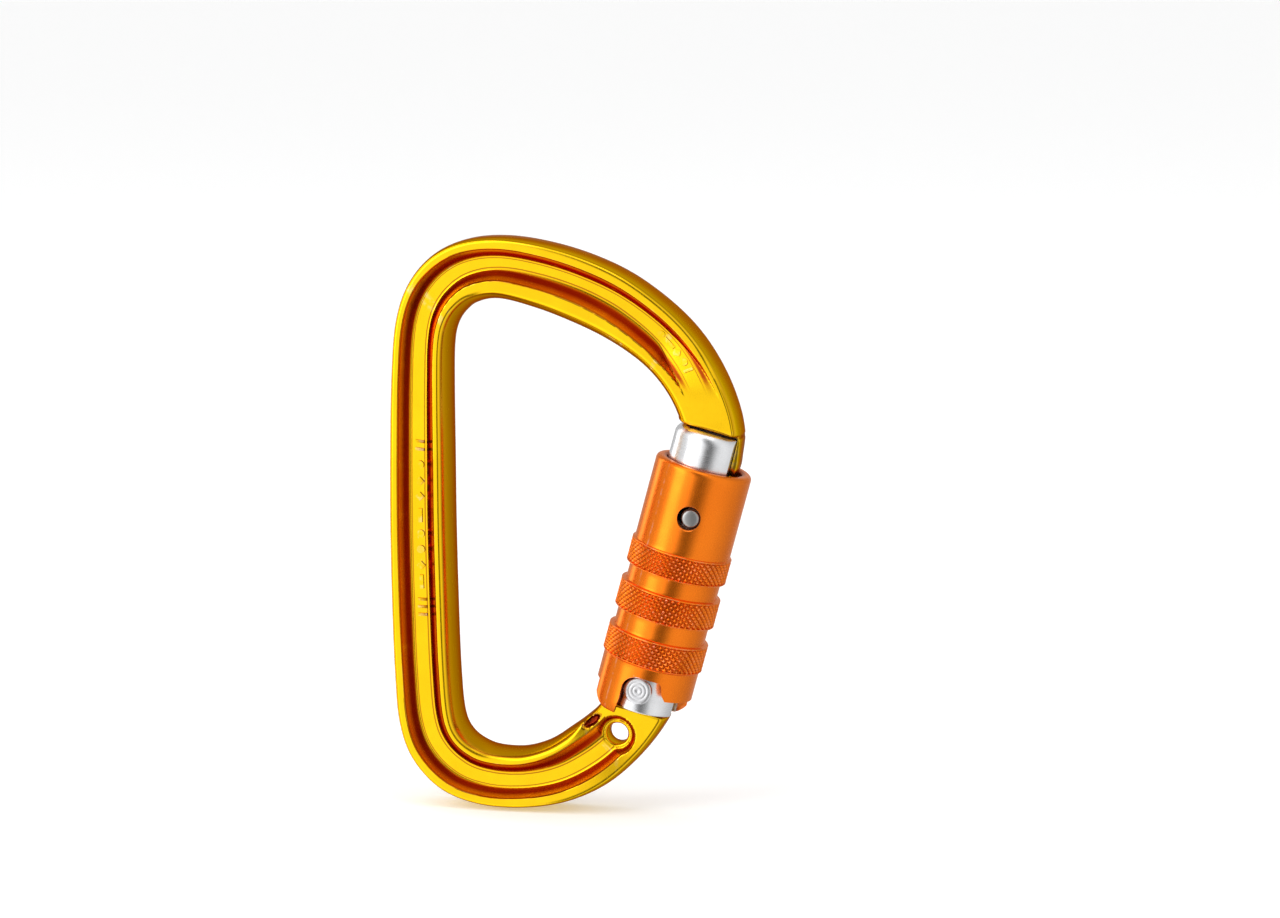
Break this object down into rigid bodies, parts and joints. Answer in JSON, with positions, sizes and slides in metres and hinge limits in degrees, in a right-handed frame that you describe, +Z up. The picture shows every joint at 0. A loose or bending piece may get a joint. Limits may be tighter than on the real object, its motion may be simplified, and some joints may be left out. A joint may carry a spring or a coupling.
{
  "type": "locking carabiner",
  "caption": "D-shaped locking carabiner with a hinged gate and a knurled auto-locking sleeve that lifts and turns.",
  "frame": {"origin": "load point at the top of the inside of the upper bend, midway through the thickness", "axes": "+Z up along the spine, +X from the spine to the gate, -Y out of the face that shows the guide pin"},
  "size_m": [0.0654, 0.0182, 0.1035],
  "materials": {
    "body_gold": "gold anodised, polished forging",
    "gate_silver": "clear anodised, satin",
    "rivet_steel": "faced, fine turning marks",
    "inner_steel": "plain turned steel",
    "spring_steel": "drawn stainless wire",
    "pin_steel": "grey, bead blasted",
    "sleeve_orange": "orange anodised, diamond knurl on three bands"
  },
  "bodies": {
    "body": {"frame": "body_gold"},
    "gate": {"gate": "gate_silver", "hinge_rivet": "rivet_steel", "gate_spring": "spring_steel", "sleeve_spring": "spring_steel"},
    "plunger": {"gate_plunger": "inner_steel"},
    "seat": {"spring_seat": "inner_steel"},
    "sleeve": {"sleeve": "sleeve_orange", "sleeve_bush": "inner_steel", "guide_pin": "pin_steel"}
  },
  "joints": [
    {"name": "gate_open", "type": "hinge", "parent": "body", "child": "gate", "pos_m": [0.027, 0, -0.069], "axis": [0, -1, 0], "range_deg": [0, 25], "stiffness_Nm_per_rad": 0.2, "springref_deg": -57.3, "deforming": ["gate_spring"]},
    {"name": "plunger_slide", "type": "slide", "parent": "gate", "child": "plunger", "axis": [0.2588, 0, 0.9659], "range_m": [0, 0.0016], "stiffness_N_per_m": 60, "springref_m": -0.003},
    {"name": "sleeve_lift", "type": "slide", "parent": "gate", "child": "seat", "axis": [0.2588, 0, 0.9659], "range_m": [0, 0.004], "stiffness_N_per_m": 300, "springref_m": -0.006, "deforming": ["sleeve_spring"]},
    {"name": "sleeve_twist", "type": "hinge", "parent": "seat", "child": "sleeve", "pos_m": [0.027, 0, -0.069], "axis": [-0.2588, 0, -0.9659], "range_deg": [0, 90], "stiffness_Nm_per_rad": 0.02, "springref_deg": -57.3}
  ],
  "couplings": [
    {"joint": "plunger_slide", "follows": "gate_open", "m_per_rad": 0.0033},
    {"joint": "sleeve_twist", "follows": "sleeve_lift", "rad_per_m": 392.7}
  ]
}
